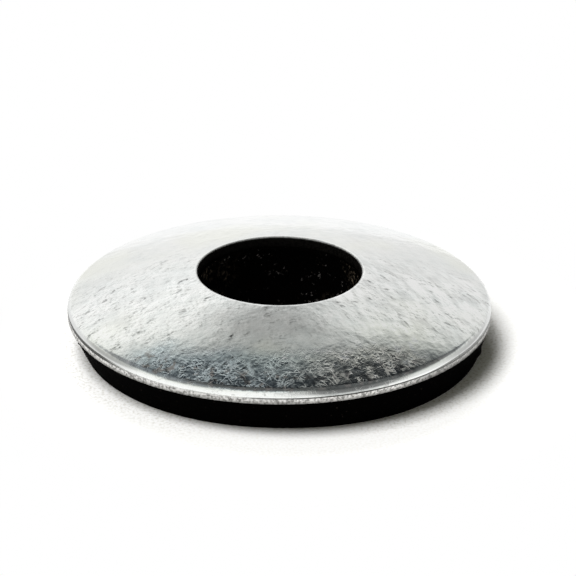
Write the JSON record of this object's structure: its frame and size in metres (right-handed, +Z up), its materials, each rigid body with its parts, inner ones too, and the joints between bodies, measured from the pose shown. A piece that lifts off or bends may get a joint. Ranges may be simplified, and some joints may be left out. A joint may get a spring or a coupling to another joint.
{
  "type": "bonded sealing washer",
  "caption": "Dished round steel washer with a black rubber sealing ring bonded under it, for a screw or bolt through its central hole.",
  "frame": {"origin": "centre of the flat rubber face that the washer rests and seals on, on the washer's axis", "axes": "+Z up along the washer's axis, from the rubber foot to the domed steel top; X and Y are free, because the washer is round"},
  "size_m": [0.0254, 0.0254, 0.0046],
  "materials": {
    "galvanised_steel": "mottled zinc coating, satin",
    "seal_rubber": "matte black"
  },
  "bodies": {
    "root": {"metal_washer": "galvanised_steel", "rubber_seal": "seal_rubber"}
  },
  "joints": []
}
